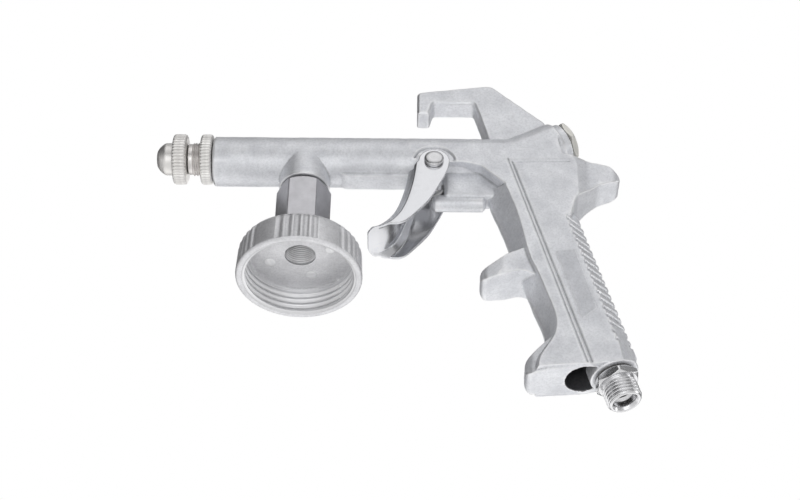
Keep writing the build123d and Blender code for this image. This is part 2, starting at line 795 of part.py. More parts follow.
def trigger():
    """Pressed-steel trigger: two cheeks, a web and a flared finger paddle."""
    front = trigger_path()
    inner = shifted(front, TRIGGER_SHEET)
    rear_line = [inner[-2], (34.0, 19.2), (38.4, 19.4), (43.5, 23.8), (49.4, 31.4), (53.8, 40.4), (56.8, 48.2)]
    outer_curve = Spline(*front)
    outer_curve += Line(front[-1], inner[-1])
    outer_curve += Line(inner[-1], inner[-2])
    outer_curve += Spline(*rear_line, (PIVOT_X + EAR_R, PIVOT_Z))
    outer_curve += ThreePointArc(
        (PIVOT_X + EAR_R, PIVOT_Z), (PIVOT_X, PIVOT_Z + EAR_R), (PIVOT_X - EAR_R, PIVOT_Z)
    )
    outer_curve += Line((PIVOT_X - EAR_R, PIVOT_Z), front[0])
    body = slab(outer_curve, TRIGGER_HALF)
    folds = body.edges().filter_by(folded_edge)
    body = chamfer(folds, FOLD_R)
    far = [(20.0, 8.0), (75.0, 8.0), (75.0, 75.0), (36.0, 75.0), (36.0, inner[0][1])]
    hollow_curve = Spline(*inner) + Polyline(inner[-1], *far, inner[0])
    hollow = slab(hollow_curve, TRIGGER_HALF - TRIGGER_SHEET)
    hollow = chamfer(hollow.edges().filter_by(folded_edge), FOLD_R - 0.4 * TRIGGER_SHEET)
    body = body - hollow
    plan = rounded(
        [(25.6, -5.2), (28.4, -9.6), (35.0, -TRIGGER_HALF), (60.0, -TRIGGER_HALF),
         (60.0, TRIGGER_HALF), (35.0, TRIGGER_HALF), (28.4, 9.6), (25.6, 5.2)],
        [5.0, 6.0, 12.0, 0.5, 0.5, 12.0, 6.0, 5.0],
    )
    body = body & extrude(make_face(plan), amount=80)
    return body - rod(PIN_R + RUN_GAP, (PIVOT_X, 0, PIVOT_Z), (0, 1, 0), -20, 20)


def trigger_pin():
    """Headed pivot pin through the body."""
    head = TRIGGER_HALF + PIN_PLAY
    end = TRIGGER_HALF + PIN_END
    groove = TRIGGER_HALF + PIN_PLAY
    outline = [
        (0, -end),
        (PIN_R - 0.4, -end),
        (PIN_R, -end + 0.4),
        (PIN_R, -groove - CLIP_THICK - SEAT_GAP),
        (CLIP_GROOVE_R, -groove - CLIP_THICK - SEAT_GAP),
        (CLIP_GROOVE_R, -groove),
        (PIN_R, -groove),
        (PIN_R, head),
        (PIN_HEAD_R, head),
        (PIN_HEAD_R, head + PIN_HEAD_LENGTH - 0.6),
        (PIN_HEAD_R - 0.5, head + PIN_HEAD_LENGTH - 0.15),
        (PIN_HEAD_R - 1.2, head + PIN_HEAD_LENGTH),
        (0, head + PIN_HEAD_LENGTH),
    ]
    return turned(outline, (PIVOT_X, 0, PIVOT_Z), (0, -1, 0))


def trigger_clip():
    """Retaining clip in the pin's groove on the far side."""
    near = -TRIGGER_HALF - PIN_PLAY - CLIP_THICK
    start = (PIVOT_X, 0, PIVOT_Z)
    clip = ring(CLIP_GROOVE_R + SEAT_GAP, CLIP_R, start, (0, -1, 0), near, near + CLIP_THICK)
    mouth = Pos(PIVOT_X, TRIGGER_HALF + 1, PIVOT_Z - CLIP_R) * Box(2.4, 4, 2 * CLIP_R)
    return clip - mouth


# ---------------------------------------------------------------- air valve group
def valve_stem():
    """Stem that the trigger pushes; its rear end carries the poppet."""
    start = on_valve_axis(VALVE_X)
    tip = (STEM_TIP_X - VALVE_X) / math.cos(VALVE_TILT)
    rear = -CHAMBER_LENGTH + POPPET_LENGTH + 5.0
    outline = [
        (0, tip),
        (0.5 * STEM_R, tip + 0.15),
        (STEM_R, tip + 0.9),
        (STEM_R, rear),
        (0, rear),
    ]
    return turned(outline, start, VALVE_DIR)


def valve_poppet():
    """Brass poppet on the stem, seated on the valve seat."""
    start = on_valve_axis(VALVE_X)
    near = -CHAMBER_LENGTH + POPPET_SEAL
    outline = [
        (STEM_R + SEAT_GAP, near),
        (POPPET_R, near),
        (POPPET_R, near + POPPET_LENGTH - 2.0),
        (SPRING_R - SPRING_WIRE - 0.3, near + POPPET_LENGTH - 2.0),
        (SPRING_R - SPRING_WIRE - 0.3, near + POPPET_LENGTH),
        (STEM_R + SEAT_GAP, near + POPPET_LENGTH),
    ]
    return turned(outline, start, VALVE_DIR)


def poppet_seal():
    """Rubber disc between the poppet and the seat."""
    near = -CHAMBER_LENGTH + SIDE_GAP / 3
    far = -CHAMBER_LENGTH + POPPET_SEAL
    return ring(STEM_R + SEAT_GAP, POPPET_R - 0.2, on_valve_axis(VALVE_X), VALVE_DIR, near, far)


def valve_seat():
    """Pressed-in brass seat."""
    start = on_valve_axis(VALVE_X)
    near = -CHAMBER_LENGTH - SEAT_LENGTH
    return ring(STEM_R + 0.9, SEAT_R, start, VALVE_DIR, near, -CHAMBER_LENGTH)


def valve_gland():
    """Gland nut in the front of the valve block, around the stem."""
    start = on_valve_axis(VALVE_X)
    mouth = (BLOCK_FRONT_X - VALVE_X) / math.cos(VALVE_TILT)
    rear = mouth + GLAND_DEPTH - PACKING_LENGTH
    return ring(STEM_R + RUN_GAP, GLAND_R, start, VALVE_DIR, mouth + GLAND_SINK, rear)


def valve_packing():
    """Packing ring behind the gland nut."""
    start = on_valve_axis(VALVE_X)
    rear = (BLOCK_FRONT_X - VALVE_X) / math.cos(VALVE_TILT) + GLAND_DEPTH
    return ring(STEM_R + RUN_GAP, GLAND_R, start, VALVE_DIR, rear - PACKING_LENGTH, rear)


def valve_spring():
    """Compression spring between the poppet and the rear plug."""
    near = -CHAMBER_LENGTH + POPPET_SEAL + POPPET_LENGTH - 2.0 + SPRING_WIRE / 2 + SEAT_GAP
    far = -PLUG_THREAD_LENGTH - SPRING_WIRE / 2 - SEAT_GAP
    radius = SPRING_R - SPRING_WIRE / 2
    path = Helix(pitch=(far - near) / SPRING_TURNS, height=far - near, radius=radius)
    wire = Plane(origin=path @ 0, z_dir=path % 0) * Circle(SPRING_WIRE / 2)
    coil = sweep(wire, path=path)
    return Plane(origin=on_valve_axis(VALVE_X), z_dir=VALVE_DIR) * (Pos(0, 0, near) * coil)


def rear_plug():
    """Hexagonal plug that closes the spring chamber."""
    start = on_valve_axis(VALVE_X)
    near = REAR_GASKET
    plug = hex_prism(PLUG_AF, start, VALVE_DIR, near, near + PLUG_HEAD, 0)
    plug = plug + rod(PLUG_THREAD_R, start, VALVE_DIR, -PLUG_THREAD_LENGTH, near)
    slot = rod(PLUG_DIMPLE_R, start, VALVE_DIR, near + PLUG_HEAD - 0.8, near + PLUG_HEAD + 1)
    return plug - slot


def rear_gasket():
    inner = PLUG_THREAD_R + SEAT_GAP
    return ring(inner, PLUG_AF / 2 - 0.3, on_valve_axis(VALVE_X), VALVE_DIR, 0, REAR_GASKET)


# ---------------------------------------------------------------- air inlet group
def inlet_nipple():
    """Air hose nipple with a hexagon and an outside pipe thread."""
    start = (INLET_X, 0, INLET_Z)
    direction = inlet_direction()
    base = INLET_BOSS_STAND + INLET_WASHER
    top = base + INLET_HEX_LENGTH
    body = hex_prism(INLET_HEX_AF, start, direction, base, top, 30)
    root = INLET_THREAD_R - 0.64 * INLET_PITCH
    turns = math.floor(INLET_THREAD_LENGTH / INLET_PITCH)
    thread = [(0, top), (root, top)]
    thread += ridge_points(INLET_THREAD_R, root, INLET_PITCH, top + 0.8, turns)
    end = top + 0.8 + turns * INLET_PITCH
    thread += [(INLET_THREAD_R - 0.8, end + 0.8), (0, end + 0.8)]
    body = body + turned(thread, start, direction)
    body = body + rod(INLET_SHANK_R, start, direction, -INLET_SHANK_LENGTH, base)
    bore = turned(
        [
            (0, -INLET_SHANK_LENGTH - 1),
            (INLET_BORE_R - 1.2, -INLET_SHANK_LENGTH - 1),
            (INLET_BORE_R - 1.2, end - 3.5),
            (INLET_BORE_R, end - 3.0),
            (INLET_BORE_R, end + 0.5),
            (INLET_BORE_R + 0.8, end + 1.6),
            (0, end + 1.6),
        ],
        start,
        direction,
    )
    return body - bore


def inlet_washer():
    inner = INLET_SHANK_R + SEAT_GAP
    outer = INLET_HEX_AF / 2 - 0.3
    start = (INLET_X, 0, INLET_Z)
    near = INLET_BOSS_STAND
    return ring(inner, outer, start, inlet_direction(), near, near + INLET_WASHER)


def inlet_filter():
    """Sintered filter plug inside the nipple's shank."""
    start = (INLET_X, 0, INLET_Z)
    outer = INLET_BORE_R - 1.2 - SEAT_GAP
    return rod(outer, start, inlet_direction(), -INLET_SHANK_LENGTH + 0.5, -INLET_SHANK_LENGTH + 4.5)


# ---------------------------------------------------------------- export
NODES = {
    "gun_body": gun_body,
    "nozzle_cap": nozzle_cap,
    "nozzle_tube": nozzle_tube,
    "nozzle_seal": nozzle_seal,
    "lock_ring": lock_ring,
    "air_jet": air_jet,
    "cup_lid": cup_lid,
    "hex_nipple": hex_nipple,
    "nipple_washer": nipple_washer,
    "trigger": trigger,
    "trigger_pin": trigger_pin,
    "trigger_clip": trigger_clip,
    "valve_stem": valve_stem,
    "valve_poppet": valve_poppet,
    "poppet_seal": poppet_seal,
    "valve_seat": valve_seat,
    "valve_gland": valve_gland,
    "valve_packing": valve_packing,
    "valve_spring": valve_spring,
    "rear_plug": rear_plug,
    "rear_gasket": rear_gasket,
    "inlet_nipple": inlet_nipple,
    "inlet_washer": inlet_washer,
    "inlet_filter": inlet_filter,
}

os.makedirs("parts", exist_ok=True)
for name, make in NODES.items():
    shape = make()
    shape.label = name
    export_step(shape, f"parts/{name}.step")
    print(name, round(shape.volume, 1), len(shape.solids()))
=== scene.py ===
import json
import math

import bpy
import numpy as np
from mathutils import Matrix, Vector, noise


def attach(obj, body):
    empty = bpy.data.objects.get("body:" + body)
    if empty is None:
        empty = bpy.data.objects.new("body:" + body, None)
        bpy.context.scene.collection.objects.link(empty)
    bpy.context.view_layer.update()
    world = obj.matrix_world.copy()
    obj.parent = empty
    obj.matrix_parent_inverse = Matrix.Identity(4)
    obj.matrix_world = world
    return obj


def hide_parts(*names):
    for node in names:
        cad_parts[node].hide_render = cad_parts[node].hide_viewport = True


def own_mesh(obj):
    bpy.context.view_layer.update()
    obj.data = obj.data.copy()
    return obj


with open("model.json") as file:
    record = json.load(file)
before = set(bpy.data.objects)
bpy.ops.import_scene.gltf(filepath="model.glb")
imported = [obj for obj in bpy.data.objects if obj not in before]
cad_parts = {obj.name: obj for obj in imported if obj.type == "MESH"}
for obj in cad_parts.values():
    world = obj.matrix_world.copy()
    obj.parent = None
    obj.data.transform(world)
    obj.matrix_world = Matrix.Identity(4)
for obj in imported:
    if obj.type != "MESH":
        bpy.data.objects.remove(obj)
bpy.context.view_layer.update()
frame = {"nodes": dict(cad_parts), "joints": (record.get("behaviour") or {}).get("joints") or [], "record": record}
CAD = frame["nodes"]
JOINTS = {joint["name"]: joint for joint in frame["joints"]}
MOUNTS = {mount["name"]: mount for mount in frame["record"]["mounts"]}

# ---------------------------------------------------------------- units and axes
MM = 0.001
TURN = 2 * math.pi
UP = (0, 0, 1)
FRONT = (0, -1, 0)
FORWARD = JOINTS["nozzle_turn"]["axis"]
VALVE_AXIS = JOINTS["valve_slide"]["axis"]
INLET_AXIS = MOUNTS["air_inlet"]["axis"]

# ---------------------------------------------------------------- camera and floor, in metres
VIEW_ELEVATION = -40.47      # degrees
VIEW_AZIMUTH = 0.54
VIEW_ROLL = 0.87
VIEW_DISTANCE = 0.6921
VIEW_TARGET = Vector((0.03825, 0.0, 0.01483))
LENS = 81.0                  # millimetres, on a sensor 36 mm wide
LIGHT_TARGET = (0.04, 0, 0.03)
FLOOR_Z = -0.62
FLOOR_REACH = 6.0

# ---------------------------------------------------------------- sizes of the gun, in millimetres
FINE_PITCH = 1.0             # of the nozzle's, the hexagonal nipple's and the dip tube's threads
KNURLS = 46
KNURL_CREST = 10.1           # radius over the knurls of the cap and the lock ring
KNURL_DEPTH = 0.42
CAP_COLLAR = 5.6             # width of the cap's knurled part
CAP_RADIUS = 6.5
CAP_SOCKET = 4.95
CAP_CHAMBER = 3.9
SPRAY_HOLE = 1.6
TUBE_BORE = 3.6
TUBE_FRONT = 4.9
TUBE_NECK = 6.2
TUBE_THREAD = 6.7
RING_BORE = 6.76
LID_RADIUS = 24.2
LID_FLOOR = 11.6             # height of the lid's inner floor above its mouth
LID_CREST = 20.6             # of the inside thread
LID_PITCH = 2.7
LID_THREAD_DEPTH = 1.05
LID_SPIGOT = 7.62
LID_HOLE = 5.95
LID_GROUPS = 6
LID_FLUTES = 5
LID_FLUTE_TURN = math.radians(8.2)
LID_FLUTE_DEPTH = 0.85
FLUTE_RADIUS = 1.9
FLUTE_CENTRE = 25.55         # radius on which the flutes' centres lie
HEX_FLATS = 18.8
HEX_CORNER = 10.9
HEX_FOOT_Z = 15.3
HEX_TOP_Z = 45.0
NIPPLE_FOOT = 7.6
NIPPLE_BORE = 2.2
NIPPLE_THREAD = 5.9          # radius of the thread into the gun
DIP_SOCKET = 13.0            # depth of the dip tube's thread
DIP_THREAD = 5.0
SMALL_FLATS = 15.0           # of the inlet nipple and the rear plug
INLET_PITCH = 1.337
INLET_CREST = 6.5785
INLET_DEPTH = 0.86
INLET_BORE = 4.2
PIN_RADIUS = 2.5
PIN_GROOVE = 1.9
PIN_HEAD = 3.85
OUTER_FACE = 8.7             # the gun's outer side faces lie farther than this from its middle
CORE_MOUTH = (105.6, 0.0, -43.6)
CORE_RADIUS = 7.7
BOSS_RADIUS = 9.4            # of the boss round the air inlet
POCKET_RADIUS = 8.3          # of the pockets that the trigger's ears turn in

# Lines of (x, z) corners, seen from the side.
PAD = ((97.4, 6.9), (104.3, 8.0), (110.8, -20.1), (105.3, -24.9))
BORDER_LINES = (             # the panel's border: start, end and depth
    ((82.2, 53.2), (108.0, -44.6), 0.42),
    ((80.5, 54.6), (106.3, -45.1), 0.42),
    ((104.5, 53.8), (82.2, 53.2), 0.18),
)
TRIGGER_WEB = ((41.2, 49.0), (40.2, 41.5), (38.5, 34.0), (36.2, 27.6), (33.2, 23.3), (29.6, 21.0))
EJECTOR_MARKS = (            # (x, y, radius) in the lid's floor
    (-12.0, 4.2, 2.3), (3.8, 11.6, 2.2), (11.6, -3.4, 1.9), (-5.0, -12.6, 1.9),
)

# ---------------------------------------------------------------- tones
BRASS = (0.80, 0.66, 0.36)
# Tone of rubbed edges, partly a painted highlight.
RUBBED_HIGHLIGHT = (0.95, 0.95, 0.96)
# Tone of the painted shade in inside corners.
CREVICE_SHADE = (0.20, 0.20, 0.21)


def cool(grey):
    """Grey with a trace of blue."""
    return (grey, grey, grey * 1.01)


def tint(tone, share=1.0):
    """The tone, darkened to that share, as a socket's colour."""
    return (*[part * share for part in tone], 1)


# The tent's greys: stops of (position, tone), from below to above and from left to right.
TENT_HEIGHTS = (
    (0.0, (0.62, 0.62, 0.63)), (0.22, cool(0.80)), (0.36, cool(0.95)), (0.46, cool(0.42)),
    (0.54, cool(0.30)), (0.64, cool(0.65)), (0.82, cool(0.52)), (1.0, 1.0),
)
TENT_SIDES = (
    (0.0, (0.16, 0.16, 0.17)), (0.24, cool(0.18)), (0.36, cool(0.52)), (0.46, cool(0.96)),
    (0.60, cool(1.0)), (0.78, cool(0.80)), (1.0, 0.60),
)


# ---------------------------------------------------------------- node tools
class Nodes:
    """Short ways to build a node tree. A value is a number, a colour or another node's socket."""

    def __init__(self, tree):
        self.tree = tree

    def add(self, kind):
        return self.tree.nodes.new("ShaderNode" + kind)

    def fill(self, socket, value):
        if isinstance(value, bpy.types.NodeSocket):
            self.tree.links.new(value, socket)
        else:
            socket.default_value = value

    def math(self, how, first, second, third=0.0):
        node = self.add("Math")
        node.operation = how
        for socket, value in zip(node.inputs, (first, second, third)):
            self.fill(socket, value)
        return node.outputs[0]

    def vector(self, how, *values):
        node = self.add("VectorMath")
        node.operation = how
        for socket, value in zip(node.inputs, values):
            self.fill(socket, value)
        return node

    def mix(self, share, first, second, how="MIX"):
        node = self.add("Mix")
        node.data_type = "RGBA"
        node.blend_type = how
        self.fill(node.inputs["Factor"], share)
        self.fill(node.inputs[6], first)
        self.fill(node.inputs[7], second)
        return node.outputs[2]

    def ramp(self, source, *stops):
        """Tones by value: rising stops of (value, grey or colour)."""
        node = self.add("ValToRGB")
        line = node.color_ramp.elements
        line[0].position = stops[0][0]
        line[1].position = stops[-1][0]
        for spot, _ in stops[1:-1]:
            line.new(spot)
        for element, (_, tone) in zip(line, stops):
            element.color = (tone, tone, tone, 1) if isinstance(tone, float) else (*tone, 1)
        self.fill(node.inputs[0], source)
        return node.outputs["Color"]


class Shader(Nodes):
    """A material: a Principled surface and ways to add procedural detail."""

    def __init__(self, name):
        self.material = bpy.data.materials.new(name)
        self.material.use_nodes = True
        super().__init__(self.material.node_tree)
        self.principled = self.tree.nodes["Principled BSDF"]
        self.coordinates = self.add("TexCoord").outputs["Object"]

    def surface(self, socket, value):
        self.fill(self.principled.inputs[socket], value)

    def noise(self, size, detail, roughness, at=None, distortion=0.0):
        """Noise whose blots are about size millimetres across."""
        node = self.add("TexNoise")
        node.inputs["Scale"].default_value = 1 / (size * MM)
        node.inputs["Detail"].default_value = detail
        node.inputs["Roughness"].default_value = roughness
        node.inputs["Distortion"].default_value = distortion
        self.fill(node.inputs["Vector"], at or self.coordinates)
        return node.outputs["Fac"]

    def cells(self, size):
        """Distance to the nearest of scattered points, size millimetres apart."""
        node = self.add("TexVoronoi")
        node.inputs["Scale"].default_value = 1 / (size * MM)
        self.fill(node.inputs["Vector"], self.coordinates)
        return node.outputs["Distance"]

    def bump(self, height, strength, depth, before=None):
        """Bump of depth millimetres, on top of the one before."""
        node = self.add("Bump")
        node.inputs["Strength"].default_value = strength
        node.inputs["Distance"].default_value = depth * MM
        self.fill(node.inputs["Height"], height)
        if before:
            self.fill(node.inputs["Normal"], before)
        return node.outputs["Normal"]

    def edges(self, low, high):
        """0 on flats and 1 on outside edges of a dense mesh, where rubbed wear and a painted highlight go."""
        return self.ramp(self.add("NewGeometry").outputs["Pointiness"], (low, 0.0), (high, 1.0))

    def crevices(self, low, high):
        """1 in the inside corners of a dense mesh and 0 on flats."""
        return self.ramp(self.add("NewGeometry").outputs["Pointiness"], (low, 1.0), (high, 0.0))

    def turned(self, lie):
        """Coordinates that are the same all round an axis: (radius, distance along, 0)."""
        away = self.vector("SUBTRACT", self.coordinates, lie.origin).outputs[0]
        along = self.vector("DOT_PRODUCT", away, lie.axis)
        across = self.vector("CROSS_PRODUCT", away, lie.axis)
        radius = self.vector("LENGTH", across.outputs[0])
        join = self.add("CombineXYZ")
        self.fill(join.inputs[0], radius.outputs["Value"])
        self.fill(join.inputs[1], along.outputs["Value"])
        return join.outputs[0]


# ---------------------------------------------------------------- camera, light and floor
def camera():
    """The photograph's view: from in front and below."""
    elevation = math.radians(VIEW_ELEVATION)
    azimuth = math.radians(VIEW_AZIMUTH)
    back = Vector((
        math.sin(azimuth) * math.cos(elevation),
        -math.cos(azimuth) * math.cos(elevation),
        math.sin(elevation),
    ))
    right = Vector(UP).cross(back).normalized()
    up = back.cross(right)
    turn = Matrix((right, up, back)).transposed().to_4x4()
    data = bpy.data.cameras.new("camera")
    data.lens = LENS
    data.sensor_width = 36.0
    data.clip_start = 0.01
    eye = bpy.data.objects.new("camera", data)
    roll = Matrix.Rotation(math.radians(VIEW_ROLL), 4, "Z")
    eye.matrix_world = Matrix.Translation(VIEW_TARGET + back * VIEW_DISTANCE) @ turn @ roll
    bpy.context.collection.objects.link(eye)
    bpy.context.scene.camera = eye


def floor():
    """Plain pale floor, with a little light of its own so that it stays pale from every side."""
    reach, low = FLOOR_REACH, FLOOR_Z
    corners = [(-reach, -reach, low), (reach, -reach, low), (reach, reach, low), (-reach, reach, low)]
    mesh = bpy.data.meshes.new("floor")
    mesh.from_pydata(corners, [], [(0, 1, 2, 3)])
    ground = bpy.data.objects.new("floor", mesh)
    bpy.context.collection.objects.link(ground)
    pale = Shader("floor_pale")
    pale.surface("Base Color", (0.86, 0.86, 0.86, 1))
    pale.surface("Roughness", 0.7)
    pale.surface("Emission Color", (1.0, 1.0, 1.0, 1))
    pale.surface("Emission Strength", 0.32)
    mesh.materials.append(pale.material)


def tent():
    """Tent with grey bands for the metal to mirror. The camera itself sees plain white."""
    world = bpy.data.worlds.new("studio")
    world.use_nodes = True
    world.node_tree.nodes.clear()
    nodes = Nodes(world.node_tree)
    parts = nodes.add("SeparateXYZ")
    nodes.fill(parts.inputs[0], nodes.add("TexCoord").outputs["Generated"])
    height = nodes.math("MULTIPLY_ADD", parts.outputs["Z"], 0.5, 0.5)
    beside = nodes.math("MULTIPLY_ADD", parts.outputs["X"], 0.5, 0.5)
    grey = nodes.mix(1.0, nodes.ramp(height, *TENT_HEIGHTS), nodes.ramp(beside, *TENT_SIDES), "MULTIPLY")
    mirrored = nodes.add("Background")
    nodes.fill(mirrored.inputs["Color"], grey)
    nodes.fill(mirrored.inputs["Strength"], 0.5)
    seen = nodes.add("Background")
    nodes.fill(seen.inputs["Color"], (1, 1, 1, 1))
    nodes.fill(seen.inputs["Strength"], 1.0)
    either = nodes.add("MixShader")
    nodes.fill(either.inputs["Fac"], nodes.add("LightPath").outputs["Is Camera Ray"])
    nodes.fill(either.inputs[1], mirrored.outputs[0])
    nodes.fill(either.inputs[2], seen.outputs[0])
    nodes.fill(nodes.add("OutputWorld").inputs[0], either.outputs[0])
    bpy.context.scene.world = world
    bpy.context.scene.view_settings.view_transform = "Standard"


def softbox(name, place, width, height, power, colour=(1, 1, 1)):
    """Rectangular area light that faces the gun and that the camera doesn't see."""
    data = bpy.data.lights.new(name, "AREA")
    data.shape = "RECTANGLE"
    data.size = width
    data.size_y = height
    data.energy = power
    data.color = colour
    lamp = bpy.data.objects.new(name, data)
    lamp.visible_camera = False
    facing = (Vector(LIGHT_TARGET) - Vector(place)).to_track_quat("-Z", "Y").to_matrix().to_4x4()
    lamp.matrix_world = Matrix.Translation(place) @ facing
    bpy.context.collection.objects.link(lamp)


def lights():
    softbox("key", (0.12, -0.85, 0.68), 1.4, 1.0, 3.5)
    softbox("front_low", (0.02, -0.8, -0.50), 1.0, 0.42, 1.7, (0.98, 0.99, 1.0))
    softbox("under", (0.05, 0.60, -0.38), 1.7, 0.6, 1.6)
    softbox("back", (0.1, 0.8, 0.5), 0.9, 0.5, 2.0)
    softbox("left_edge", (-0.8, -0.1, 0.0), 0.10, 0.8, 0.3)
    softbox("right_edge", (0.9, 0.0, 0.1), 0.25, 0.8, 1.2)


# ---------------------------------------------------------------- materials
def cast_aluminium(name, light, dark, grain, polish_and_highlight=1.0, metallic=0.82):
    """Die-cast and tumbled aluminium: mottled and pitted, with bright rubbed edges that are partly a painted
    highlight, and painted shade in inside corners.
    """
    metal = Shader(name)
    cloud = metal.noise(9.0, 5.0, 0.62)
    fleck = metal.noise(0.9, 4.0, 0.7)
    stain = metal.noise(22.0, 3.0, 0.5, distortion=0.6)
    # Rubbed wear and painted highlight: outside edges are brightened towards a near-white tone.
    rubbed_highlight = metal.edges(0.503, 0.530)
    # Painted shade: inside corners are darkened.
    crevice_shade = metal.crevices(0.455, 0.492)
    tone = metal.mix(metal.ramp(cloud, (0.34, 0.0), (0.68, 1.0)), tint(dark), tint(light))
    tone = metal.mix(metal.ramp(fleck, (0.30, 0.34), (0.58, 0.0)), tone, tint(dark, 0.62))
    tone = metal.mix(metal.ramp(stain, (0.58, 0.0), (0.74, 0.28)), tone, tint(dark, 0.80))
    tone = metal.mix(metal.math("MULTIPLY", rubbed_highlight, 0.75 * polish_and_highlight), tone, tint(RUBBED_HIGHLIGHT))
    tone = metal.mix(metal.math("MULTIPLY", crevice_shade, 0.62), tone, tint(CREVICE_SHADE))
    metal.surface("Base Color", tone)
    metal.surface("Metallic", metallic)
    rough = metal.math("MULTIPLY_ADD", cloud, -0.16, 0.56)
    rough = metal.math("MULTIPLY_ADD", rubbed_highlight, -0.16 * polish_and_highlight, rough)
    rough = metal.math("MULTIPLY_ADD", fleck, 0.14, rough)
    metal.surface("Roughness", rough)
    pits = metal.ramp(metal.cells(2.6), (0.03, 0.0), (0.16, 1.0))
    normal = metal.bump(metal.noise(6.0, 4.0, 0.6), 0.35, 0.35)
    normal = metal.bump(metal.noise(0.8, 5.0, 0.72), 0.48, grain, normal)
    normal = metal.bump(metal.noise(0.32, 2.0, 0.6), 0.45, 0.07, normal)
    normal = metal.bump(pits, 0.25, 0.10, normal)
    metal.surface("Normal", normal)
    return metal.material


def turned_metal(name, tone, lie, rough, marks, smear=0.12):
    """Machined metal with fine turning marks round the axis of the piece, and painted shade in its inside corners.
    """
    metal = Shader(name)
    round_it = metal.turned(lie)
    fine = metal.noise(0.16, 2.0, 0.6, round_it)
    band = metal.noise(1.1, 3.0, 0.5, round_it)
    smudge = metal.noise(3.2, 4.0, 0.6)
    # Painted shade: inside corners, such as thread roots and knurl grooves, are darkened.
    crevice_shade = metal.crevices(0.43, 0.49)
    shade = metal.mix(metal.ramp(band, (0.35, 0.0), (0.7, 1.0)), tint(tone, 0.86), tint(tone))
    shade = metal.mix(metal.ramp(smudge, (0.55, 0.0), (0.8, smear)), shade, tint(tone, 0.6))
    shade = metal.mix(metal.math("MULTIPLY", crevice_shade, 0.65), shade, tint(tone, 0.25))
    metal.surface("Base Color", shade)
    metal.surface("Metallic", 1.0)
    level = metal.math("MULTIPLY_ADD", fine, 0.16, rough - 0.06)
    level = metal.math("MULTIPLY_ADD", smudge, 0.14, level)
    metal.surface("Roughness", level)
    normal = metal.bump(fine, marks, 0.03)
    metal.surface("Normal", metal.bump(smudge, 0.08, 0.08, normal))
    return metal.material


def chrome(name):
    """Polished chrome plate over pressed steel, with faint smears."""
    metal = Shader(name)
    wave = metal.noise(7.0, 2.0, 0.5)
    film = metal.noise(2.4, 5.0, 0.65, distortion=1.2)
    smear = metal.ramp(film, (0.5, 0.0), (0.85, 0.35))
    metal.surface("Base Color", metal.mix(smear, (0.71, 0.715, 0.735, 1), (0.56, 0.565, 0.58, 1)))
    metal.surface("Metallic", 1.0)
    metal.surface("Roughness", metal.math("MULTIPLY_ADD", film, 0.13, 0.13))
    normal = metal.bump(wave, 0.05, 0.4)
    metal.surface("Normal", metal.bump(metal.noise(0.3, 2.0, 0.5), 0.05, 0.03, normal))
    return metal.material


def satin_hexagon(name, tone, rough):
    """Drawn hexagon bar: satin, with faint lines along its length."""
    metal = Shader(name)
    stretch = metal.add("Mapping")
    stretch.inputs["Scale"].default_value = (1, 1, 0.04)
    metal.fill(stretch.inputs["Vector"], metal.coordinates)
    lines = metal.noise(0.35, 3.0, 0.6, stretch.outputs[0])
    cloud = metal.noise(5.0, 4.0, 0.6)
    shade = metal.mix(metal.ramp(cloud, (0.35, 0.0), (0.7, 1.0)), tint(tone, 0.84), tint(tone))
    metal.surface("Base Color", shade)
    metal.surface("Metallic", 0.9)
    metal.surface("Roughness", metal.math("MULTIPLY_ADD", lines, 0.18, rough - 0.08))
    metal.surface("Normal", metal.bump(lines, 0.18, 0.04))
    return metal.material


def seal(name, tone):
    """Dark compressed fibre."""
    fibre = Shader(name)
    grain = fibre.noise(0.25, 4.0, 0.7)
    fibre.surface("Base Color", fibre.mix(grain, tint(tone, 0.6), tint(tone)))
    fibre.surface("Roughness", fibre.math("MULTIPLY_ADD", grain, 0.2, 0.65))
    fibre.surface("Normal", fibre.bump(grain, 0.4, 0.08))
    return fibre.material


# ---------------------------------------------------------------- mesh tools
class Lie:
    """Where a turned CAD piece lies: its axis, the middle of its near end and its length."""

    def __init__(self, node, axis):
        points = np.array([vertex.co[:] for vertex in CAD[node].data.vertices])
        self.axis = Vector(axis).normalized()
        self.side = Vector(FRONT) if abs(self.axis.y) < 0.9 else Vector((1, 0, 0))
        self.up = self.side.cross(self.axis).normalized()
        along = points @ np.array(self.axis)
        across, upward = (
            0.5 * float(values.min() + values.max())
            for values in (points @ np.array(self.side), points @ np.array(self.up))
        )
        self.origin = self.axis * float(along.min()) + self.side * across + self.up * upward
        self.length = float(along.max() - along.min())


def rows(items, field):
    """One row of three numbers for each item of a mesh."""
    values = np.empty(len(items) * 3, np.float32)
    items.foreach_get(field, values)
    return values.reshape(-1, 3)


def moved(mesh, points):
    """Puts the mesh's vertices at these points, in metres."""
    mesh.vertices.foreach_set("co", points.ravel())
    mesh.update()


def painted(mesh, zones):
    """Gives each face the material of its zone."""
    mesh.polygons.foreach_set("material_index", zones.astype(np.int32))
    mesh.update()


def smooth_shaded(mesh):
    mesh.polygons.foreach_set("use_smooth", np.ones(len(mesh.polygons), bool))


def outline(corners, step):
    """Closed line in short steps through corners of (distance, radius, rounding). Millimetres."""
    points = np.array([corner[:2] for corner in corners], float)
    line = []
    for index, corner in enumerate(points):
        before, after = points[index - 1], points[(index + 1) % len(points)]
        reach = corners[index][2]
        arms = []
        for other in (before, after):
            gap = np.linalg.norm(other - corner)
            arms.append(corner + (other - corner) * min(reach, 0.45 * gap) / gap)
        for share in np.linspace(0, 1, 5):
            rest = 1 - share
            line.append(arms[0] * rest ** 2 + 2 * corner * share * rest + arms[1] * share ** 2)
    full = []
    for index, point in enumerate(line):
        after = line[(index + 1) % len(line)]
        count = max(1, round(float(np.linalg.norm(after - point)) / step))
        for part in range(count):
            full.append(point + (after - point) * part / count)
    return np.array(full)


